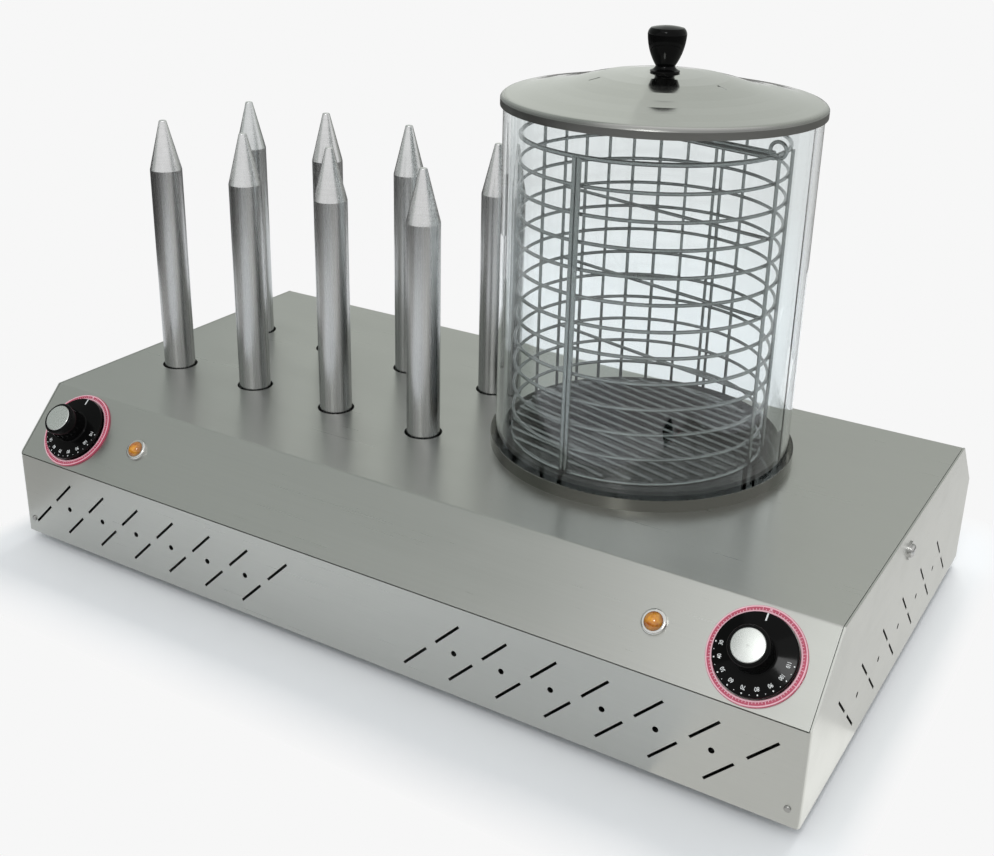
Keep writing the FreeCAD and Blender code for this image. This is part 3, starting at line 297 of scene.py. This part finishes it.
def drawn_bar(name, colour, roughness, shoulder):
    """Drawn bar with fine lines along it, a freshly turned cone above its shoulder,
    and painted shade that darkens it towards its lower end."""
    cone_lighter, low_end_painted_shade, tone_reach, blur = 0.14, 0.16, 0.8, 0.3 * MM
    made = Finish(name, metallic=1.0, roughness=roughness)
    level = made.split(made.place)["Z"]
    lines = made.noise(made.stretch((700, 700, 3)), detail=3, harsh=0.7)
    broad = made.noise(made.stretch((160, 160, 2)), detail=2)
    stains = made.noise(made.stretch((60, 60, 25)), detail=4, harsh=0.6)
    turned = made.noise(made.stretch((40, 40, 1500)), detail=2, harsh=0.6)
    cone = made.between(level, 0, 1, shoulder - blur, shoulder + blur)
    tone = made.total(
        made.swing(lines, 0.03), made.swing(broad, 0.03), made.swing(stains, 0.015),
        # Painted shade, darker towards the lower end of the bar.
        made.between(level, -low_end_painted_shade, 0.0, *SPIKE_SHADED_SPAN),
        made.maths("MULTIPLY", cone, cone_lighter),
        made.maths("MULTIPLY", cone, made.swing(turned, 0.03)), made.MIDDLE)
    made.shade(tone, colour, tone_reach)
    made.rough(made.uneven(lines, roughness))
    made.bump(lines, 0.005 * MM, 0.25)
    made.brushed_round((0, 0.02, 1), 0.35, turn=0.0)
    return made.material


def small_metal(name, colour, roughness, marks=500, stain=0.12):
    """Small plated or drawn metal pieces: clouded plate with fine tool marks."""
    made = Finish(name, metallic=1.0, roughness=roughness)
    clouds = made.noise(made.place, detail=4, scale=90)
    fine = made.noise(made.stretch((marks, marks, marks * 3)), detail=2)
    made.shade(clouds, colour, stain)
    made.rough(made.between(fine, roughness * 0.85, roughness * 1.2))
    made.bump(fine, 0.004 * MM, 0.3)
    return made.material


def plastic(name, colour, roughness, peel=350, depth=0.02 * MM, shine=0.5):
    """Moulded plastic or rubber: faint orange peel and slight mottling."""
    mottle = 0.12
    made = Finish(name, roughness=roughness, Specular_IOR_Level=shine)
    skin = made.noise(made.place, detail=2, scale=peel)
    clouds = made.noise(made.place, detail=3, scale=60)
    made.shade(clouds, colour, mottle)
    made.rough(made.between(skin, roughness * 0.85, roughness * 1.15))
    made.bump(skin, depth, 0.4)
    return made.material


def clear_glass(name):
    """Borosilicate tube: a trace of green, faint draw lines and water marks. Light
    goes through it unbent where it casts its shadow."""
    tint, pale_tint = (0.89, 0.917, 0.92), (0.905, 0.93, 0.932)
    shadow_tint = (0.93, 0.96, 0.95)
    made = Finish(name, roughness=0.0, IOR=1.47, Transmission_Weight=1.0,
                  Specular_IOR_Level=0.3)
    drawn = made.noise(made.stretch((260, 260, 5)), detail=2)
    marks = made.noise(made.stretch((40, 40, 40)), detail=5, harsh=0.6)
    made.colour(made.blend(drawn, tint, pale_tint))
    made.rough(made.between(marks, 0.0, 0.02, 0.55, 0.8))
    made.bump(drawn, 0.02 * MM, 0.25)
    ray = made.node("ShaderNodeLightPath")
    unbent = made.node("ShaderNodeBsdfTransparent")
    unbent.inputs["Color"].default_value = (*shadow_tint, 1)
    made.give_way(ray.outputs["Is Shadow Ray"], unbent.outputs[0])
    return made.material


def amber(name, across):
    """Clear amber lens and fine moulded facets: a painted glow in its warm middle, painted
    shade in its brown rim.
    """
    # Colours of the painted glow in the lens's middle, and of the painted shade at its rim.
    dim_painted_glow, bright_painted_glow, brown = (0.4, 0.1, 0.004), (0.85, 0.38, 0.025), (0.1, 0.03, 0.004)
    painted_glow_radius, rim_radius = 3.5 * MM, 6.6 * MM
    made = Finish(name, roughness=0.1, Coat_Weight=0.7, Coat_Roughness=0.03)
    away = made.node("ShaderNodeVectorMath", operation="DISTANCE")
    away.inputs[1].default_value = Vector((across, SLOPE_Y, SLOPE_Z)) + OUTWARD * LENS_LEVEL
    made.link(made.place, away.inputs[0])
    # Painted glow in the middle of the lens, fading to painted shade at its rim.
    painted_rim_shade = made.between(away.outputs["Value"], 0, 1, painted_glow_radius, rim_radius)
    cells = made.node("ShaderNodeTexVoronoi")
    cells.inputs["Scale"].default_value = 800
    made.link(made.place, cells.inputs["Vector"])
    clouds = made.noise(made.place, detail=2, scale=260)
    warm = made.blend(made.between(clouds, 0, 1), dim_painted_glow, bright_painted_glow)
    made.colour(made.blend(painted_rim_shade, warm, brown))
    made.bump(cells.outputs["Distance"], 0.03 * MM, 0.3)
    return made.material


SLOTS = {
    "case_steel": sheet_steel("case_steel", (0.505, 0.512, 0.487), 0.3),
    "plated_steel": small_metal("plated_steel", (0.55, 0.56, 0.56), 0.42),
    "screw_steel": small_metal("screw_steel", (0.5, 0.5, 0.49), 0.3),
    "heater_sheath": small_metal("heater_sheath", (0.3, 0.29, 0.28), 0.5, stain=0.3),
    "cutout_can": small_metal("cutout_can", (0.7, 0.7, 0.68), 0.25),
    # The pan's nearly black colour is painted shade: it sits low in shade inside the glass.
    "pan_steel": spun_metal("pan_steel", (0.05, 0.057, 0.055), 0.2),
    "lid_steel": spun_metal("lid_steel", (0.58, 0.585, 0.56), 0.08, grain=0.008,
                            anisotropic=0.2, rim=LID_RIM),
    "band_chrome": spun_metal("band_chrome", (0.17, 0.17, 0.155), 0.12),
    "wire_chrome": small_metal("wire_chrome", (0.23, 0.25, 0.245), 0.1),
    "cap_aluminium": small_metal("cap_aluminium", (0.66, 0.68, 0.66), 0.26, marks=3000,
                                 stain=0.04),
    "clear_glass": clear_glass("clear_glass"),
    "black_gloss": plastic("black_gloss", (0.003, 0.003, 0.003), 0.07, peel=200,
                           depth=0.004 * MM, shine=0.08),
    "black_matte": plastic("black_matte", (0.03, 0.03, 0.03), 0.6, peel=900),
    "pale_plastic": plastic("pale_plastic", (0.78, 0.78, 0.74), 0.45),
    "lead_cover": plastic("lead_cover", (0.75, 0.72, 0.66), 0.7, peel=700),
    "copper_tube": small_metal("copper_tube", (0.72, 0.45, 0.3), 0.35, stain=0.2),
    "thermostat_body": small_metal("thermostat_body", (0.6, 0.58, 0.52), 0.4),
    "scale_red": plastic("scale_red", (0.52, 0.065, 0.125), 0.35, peel=900),
    "foot_rubber": plastic("foot_rubber", (0.03, 0.03, 0.03), 0.75, peel=800),
}
PRINT_WHITE = plastic("print_white", (0.82, 0.84, 0.83), 0.4, peel=1500, depth=0.01 * MM)
PRINT_PINK = plastic("print_pink", (0.86, 0.5, 0.57), 0.4, peel=1500, depth=0.01 * MM)
# Nodes whose finish differs from the rest of their slot.
OWN_FINISH = {
    "lamp_bezels": small_metal("bezel_chrome", (0.66, 0.66, 0.64), 0.12, stain=0.05),
    "lamp_lens_left": amber("amber_left", -LAMP_X),
    "lamp_lens_right": amber("amber_right", LAMP_X),
    "corner_screws": small_metal("dull_screws", (0.36, 0.36, 0.35), 0.42),
}


def spike_finish(number, tip):
    """Each bar up to 3% lighter or darker than the middle one."""
    shade = 1 + 0.03 * ((number * 3) % 5 - 2) / 2
    return drawn_bar(f"spike_aluminium_{number}", scaled(SPIKE_COLOUR, shade), 0.27,
                     tip - SPIKE_CONE)


def dress(thing, material):
    thing.data.materials.clear()
    thing.data.materials.append(material)


def dress_nodes():
    for name, node in NODES.items():
        slot = node.data.materials[0].name.split(".")[0]
        if slot == "spike_aluminium":
            dress(node, spike_finish(int(name.split("_")[1]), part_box(name)[1].z))
        else:
            dress(node, OWN_FINISH.get(name) or SLOTS[slot])


def piece(name, mesh, body, material):
    thing = bpy.data.objects.new(name, mesh)
    bpy.context.scene.collection.objects.link(thing)
    dress(thing, material)
    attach(thing, body)


def to_mesh(made, name):
    mesh = bpy.data.meshes.new(name)
    made.to_mesh(mesh)
    made.free()
    return mesh


def ray(degrees):
    """Unit vector in the XY plane."""
    angle = math.radians(degrees)
    return Vector((math.cos(angle), math.sin(angle), 0))


def lettering(text, height):
    """Flat mesh of a few digits, its middle on the origin."""
    capital_share, bolder = 0.7, 0.015
    curve = bpy.data.curves.new("digits", "FONT")
    curve.body = text
    curve.size = height / capital_share
    curve.align_x, curve.align_y = "CENTER", "CENTER"
    curve.resolution_u = 3
    curve.offset = bolder * height
    made = bpy.data.objects.new("digits", curve)
    bpy.context.scene.collection.objects.link(made)
    bpy.context.view_layer.update()
    mesh = bpy.data.meshes.new_from_object(
        made.evaluated_get(bpy.context.evaluated_depsgraph_get()))
    bpy.data.objects.remove(made)
    bpy.data.curves.remove(curve)
    return mesh


def add_flat(target, outline):
    target.faces.new([target.verts.new(point) for point in outline])


def add_ring(target, inner, outer):
    """Flat band between two radii."""
    rows = []
    for step in range(RING_STEPS + 1):
        out = ray(FULL_TURN * step / RING_STEPS)
        rows.append((target.verts.new(out * inner), target.verts.new(out * outer)))
    for (low, high), (next_low, next_high) in zip(rows, rows[1:]):
        target.faces.new((low, high, next_high, next_low))


def add_tick(target, inner, outer, degrees, width):
    out = ray(degrees)
    aside = Vector((-out.y, out.x, 0)) * (width / 2)
    add_flat(target, (out * inner - aside, out * outer - aside,
                      out * outer + aside, out * inner + aside))


def add_dot(target, radius, degrees, size):
    middle = ray(degrees) * radius
    add_flat(target, [middle + ray(FULL_TURN * corner / DOT_CORNERS) * size
                      for corner in range(DOT_CORNERS)])


def on_dial(mesh, across, level):
    """Lay a flat print on a dial; level gives the face's height at each radius."""
    for vertex in mesh.vertices:
        x, y, _ = vertex.co
        vertex.co = (Vector((across + x, SLOPE_Y, SLOPE_Z)) + UP_SLOPE * y
                     + OUTWARD * level(math.hypot(x, y)))


def disc_level(radius):
    return DISC_LEVEL + DISC_RISE * (DISC_RIM - radius) / (DISC_RIM - DISC_HUB) + PRINT_LIFT


def dial_print():
    """Numbers, their dots, smaller dots half way, and the index line."""
    made = bmesh.new()
    for place in range(NUMBERS):
        angle = FIRST_ANGLE + ANGLE_STEP * place
        number = FIRST_NUMBER + NUMBER_STEP * place
        digits = lettering(str(number), DIGIT_HEIGHT)
        width = TWO_DIGITS_WIDTH if number < THREE_DIGITS_FROM else THREE_DIGITS_WIDTH
        digits.transform(Matrix.Rotation(math.radians(angle - 90), 4, "Z")
                         @ Matrix.Translation((0, DIGIT_RADIUS, 0))
                         @ Matrix.Diagonal((width, 1, 1, 1)))
        made.from_mesh(digits)
        bpy.data.meshes.remove(digits)
        add_dot(made, DOT_RADIUS, angle, MAIN_DOT)
        if place < NUMBERS - 1:
            add_dot(made, DOT_RADIUS, angle + ANGLE_STEP / 2, HALF_DOT)
    add_tick(made, INDEX_INNER, INDEX_OUTER, INDEX_ANGLE, INDEX_WIDTH)
    return to_mesh(made, "dial_print")


def ring_marks():
    """Pale inner line of a scale ring, its graduations and its pointer."""
    made = bmesh.new()
    add_ring(made, LINE_INNER, LINE_OUTER)
    for step in range(MARKS):
        end = SHORT_MARK if step % MARKS_PER_LONG else LONG_MARK
        add_tick(made, LINE_OUTER, end, FULL_TURN * step / MARKS, MARK_WIDTH)
    add_flat(made, POINTER)
    return to_mesh(made, "ring_marks")


def ring_border():
    made = bmesh.new()
    add_ring(made, BORDER_INNER, BORDER_OUTER)
    return to_mesh(made, "ring_border")


def make_dials():
    for side, across in (("left", -DIAL_X), ("right", DIAL_X)):
        face, marks, border = dial_print(), ring_marks(), ring_border()
        on_dial(face, across, disc_level)
        piece(f"dial_print_{side}", face, f"knob_{side}", PRINT_WHITE)
        on_dial(marks, across, lambda radius: MARKS_LEVEL)
        on_dial(border, across, lambda radius: BORDER_LEVEL)
        piece(f"ring_marks_{side}", marks, "case", PRINT_PINK)
        piece(f"ring_border_{side}", border, "case", PRINT_PINK)


def add_bead(target, middle, out, size):
    """Small rounded lump of weld metal, longest along the ring."""
    before = len(target.verts)
    bmesh.ops.create_icosphere(target, subdivisions=2, radius=1)
    target.verts.ensure_lookup_table()
    along = Vector((-out.y, out.x, 0))
    upright = Vector((0, 0, 1))
    for vertex in target.verts[before:]:
        x, y, z = vertex.co
        vertex.co = middle + out * x * size.x + along * y * size.y + upright * z * size.z


def make_welds():
    """A bead at every crossing of a ring and an upright, no two quite of one size."""
    made = bmesh.new()
    for number in range(RINGS):
        level = RING_TOP - RING_PITCH * number
        for place, degrees in enumerate(UPRIGHTS + TWINS):
            out = ray(degrees)
            wobble = 1 + 0.12 * math.sin(7.3 * number + 3.1 * place)
            middle = Vector((BASKET_X, BASKET_Y, level)) + out * (RING_RADIUS + BEAD_OUTSIDE)
            add_bead(made, middle, out, BEAD * wobble)
    mesh = to_mesh(made, "basket_welds")
    mesh.shade_smooth()
    piece("basket_welds", mesh, "basket", SLOTS["wire_chrome"])


def stage_mesh(name, corners, material):
    """One four-cornered face of the studio."""
    mesh = bpy.data.meshes.new(name)
    mesh.from_pydata(corners, [], [(0, 1, 2, 3)])
    thing = bpy.data.objects.new(name, mesh)
    bpy.context.scene.collection.objects.link(thing)
    dress(thing, material)
    return thing


def level_corners(low, high, height):
    return [(low[0], low[1], height), (high[0], low[1], height),
            (high[0], high[1], height), (low[0], high[1], height)]


def seen_rays(tree):
    """1 for rays from the camera, or by way of metal or glass."""
    path = tree.nodes.new("ShaderNodeLightPath")
    seen = path.outputs["Is Camera Ray"]
    for name in ("Is Glossy Ray", "Is Transmission Ray"):
        either = tree.nodes.new("ShaderNodeMath")
        either.operation = "MAXIMUM"
        tree.links.new(seen, either.inputs[0])
        tree.links.new(path.outputs[name], either.inputs[1])
        seen = either.outputs[0]
    return seen


def beyond_case(made):
    """Distance outside the case's footprint, counted for more past its two ends."""
    low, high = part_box("case_walls")
    half = (high - low) / 2
    past_ends = 2.5
    outside = made.node("ShaderNodeVectorMath", operation="ABSOLUTE")
    made.link(made.place, outside.inputs[0])
    for operation, value in (("SUBTRACT", (half.x, half.y, 1)), ("MAXIMUM", (0, 0, 0)),
                             ("MULTIPLY", (past_ends, 1, 0))):
        step = made.node("ShaderNodeVectorMath", operation=operation)
        step.inputs[1].default_value = value
        made.link(outside.outputs["Vector"], step.inputs[0])
        outside = step
    return made.length(outside.outputs["Vector"])


def floor_finish():
    """Pale matt floor: a close soft shadow round the case, then an even white; what
    polished metal shows of it stays plain floor for further."""
    shade, pale_shade = (0.885, 0.9, 0.91), (0.895, 0.91, 0.92)
    made = Finish("floor", roughness=1.0, Specular_IOR_Level=0.0)
    grain = made.noise(made.place, detail=2, scale=30)
    made.colour(made.blend(grain, shade, pale_shade))
    near = made.between(beyond_case(made), 0, 1, 0.04, 0.085)
    far = made.between(made.radius((0, 0)), 0, 1, 0.62, 1.15)
    path = made.node("ShaderNodeLightPath")
    fade = made.choose(path.outputs["Is Glossy Ray"], near, far)
    made.give_way(made.maths("MULTIPLY", fade, seen_rays(made.tree)), made.glow(WHITE))
    return made.material


def card(name, corners, level):
    """A card that shows in polished surfaces alone, as bright as it is painted."""
    paint = Finish(name)
    paint.link(paint.glow(level), paint.output.inputs["Surface"])
    thing = stage_mesh(name, corners, paint.material)
    thing.visible_camera = False
    thing.visible_diffuse = False
    thing.visible_transmission = False
    thing.visible_shadow = False


def floor_card(name, low, high, level, height):
    """Card on the floor that stands in for it in polished metal and glass."""
    card(name, level_corners(low, high, height), (level, level, 0.98 * level))


def low_cards():
    """Dark skirt round the stage, lightest to the right, which the lid's rim shows."""
    sides, foot_radius, head_radius, foot_height, head_height = 16, 0.86, 1.3, 0.004, 0.3
    spokes = [FULL_TURN * step / sides for step in range(sides + 1)]
    for number, (start, end) in enumerate(zip(spokes, spokes[1:])):
        foot = [(*(ray(turn) * foot_radius).xy, foot_height) for turn in (start, end)]
        head = [(*(ray(turn) * head_radius).xy, head_height) for turn in (end, start)]
        level = 0.17 + 0.12 * ray(start).x
        card(f"low_card_{number}", foot + head, (level, level, 0.96 * level))


def area_light(name, place, target, size, power, colour=(1, 1, 1)):
    light = bpy.data.lights.new(name, "AREA")
    light.shape = "SQUARE"
    light.size = size
    light.energy = power
    light.color = colour
    thing = bpy.data.objects.new(name, light)
    thing.location = place
    aim = Vector(target) - Vector(place)
    thing.rotation_euler = aim.to_track_quat("-Z", "Y").to_euler()
    thing.visible_transmission = False
    bpy.context.scene.collection.objects.link(thing)
    return thing


def make_world():
    """Soft light all round, with an even white behind whatever is seen."""
    world = bpy.data.worlds.new("studio")
    world.use_nodes = True
    tree = world.node_tree
    soft, white = tree.nodes["Background"], tree.nodes.new("ShaderNodeBackground")
    for background, colour, strength in ((soft, (0.96, 0.98, 1.0), 0.8), (white, WHITE, 1.0)):
        background.inputs["Color"].default_value = (*colour, 1)
        background.inputs["Strength"].default_value = strength
    mix_shaders(tree, seen_rays(tree), soft.outputs[0], white.outputs[0],
                tree.nodes["World Output"])
    bpy.context.scene.world = world


def make_studio():
    make_world()
    reach = 14.0
    stage_mesh("floor", level_corners((-reach, -reach), (reach, reach), 0), floor_finish())
    key = area_light("key", (0.15, 1.8, 2.3), (0, 0, 0.1), 1.4, 31, (1.0, 0.99, 0.97))
    key.visible_glossy = False
    area_light("front", (0.5, -1.6, 2.0), (0.1, 0, 0.1), 0.45, 8)
    # The top sheet shows these.
    for number, (start, end, level) in enumerate(
            ((-5.5, -2.4, 0.76), (-2.4, -1.3, 0.71), (-1.3, 2.6, 0.62))):
        corners = [(start, 3.2, 0.3), (end, 3.2, 0.3), (end, 2.4, 3.6), (start, 2.4, 3.6)]
        card(f"back_card_{number}", corners, scaled((1.0, 1.04, 0.985), level))
    # The slope shows these two, and the slope card at the end.
    card("left_card", [(-3.6, -3.2, 0.5), (-3.6, 3.2, 0.5),
                       (-2.2, 3.2, 3.2), (-2.2, -3.2, 3.2)], (0.5, 0.53, 0.51))
    card("top_card", [(-2.2, -3.2, 3.2), (-2.2, 3.2, 3.2),
                      (-1.1, 3.2, 3.6), (-1.5, -3.2, 3.6)], (0.42, 0.45, 0.43))
    low_cards()
    # The walls show these, but for the back one, which the edge of the glass shows.
    floor_card("left_floor_card", (-1.1, -0.75), (-0.33, -0.2), 0.58, 0.003)
    floor_card("front_floor_card", (0.21, -0.6), (0.7, -0.177), 0.84, 0.003)
    floor_card("right_floor_card", (0.3015, -0.177), (0.44, 0.52), 0.88, 0.003)
    floor_card("back_floor_card", (0.18, 0.28), (0.66, 0.86), 0.25, 0.002)
    floor_card("corner_floor_card", (0.3015, -0.177), (0.44, -0.07), 1.3, 0.004)
    card("slope_card", level_corners((-0.9, -3.4), (0.9, -1.6), 3.4), (1.42, 1.45, 1.42))


def make_camera():
    """Camera where the photograph was taken from."""
    right = Vector((0.85260267, 0.52215574, 0.02054458))
    up = Vector((-0.21031833, 0.30689735, 0.92821345))
    back = Vector((0.4783669, -0.79571817, 0.37148042))
    place = (0.44241, -0.73699, 0.49043)
    lens = bpy.data.cameras.new("camera")
    lens.sensor_width = 36
    lens.lens = 47.255
    lens.shift_x, lens.shift_y = 0.0028, -0.0587
    lens.clip_start, lens.clip_end = 0.02, 60
    camera = bpy.data.objects.new("camera", lens)
    turn = Matrix((right, up, back)).transposed().to_4x4()
    camera.matrix_world = Matrix.Translation(place) @ turn
    bpy.context.scene.collection.objects.link(camera)
    bpy.context.scene.camera = camera


dress_nodes()
make_dials()
make_welds()
make_studio()
make_camera()
bpy.context.scene.view_settings.view_transform = "Standard"
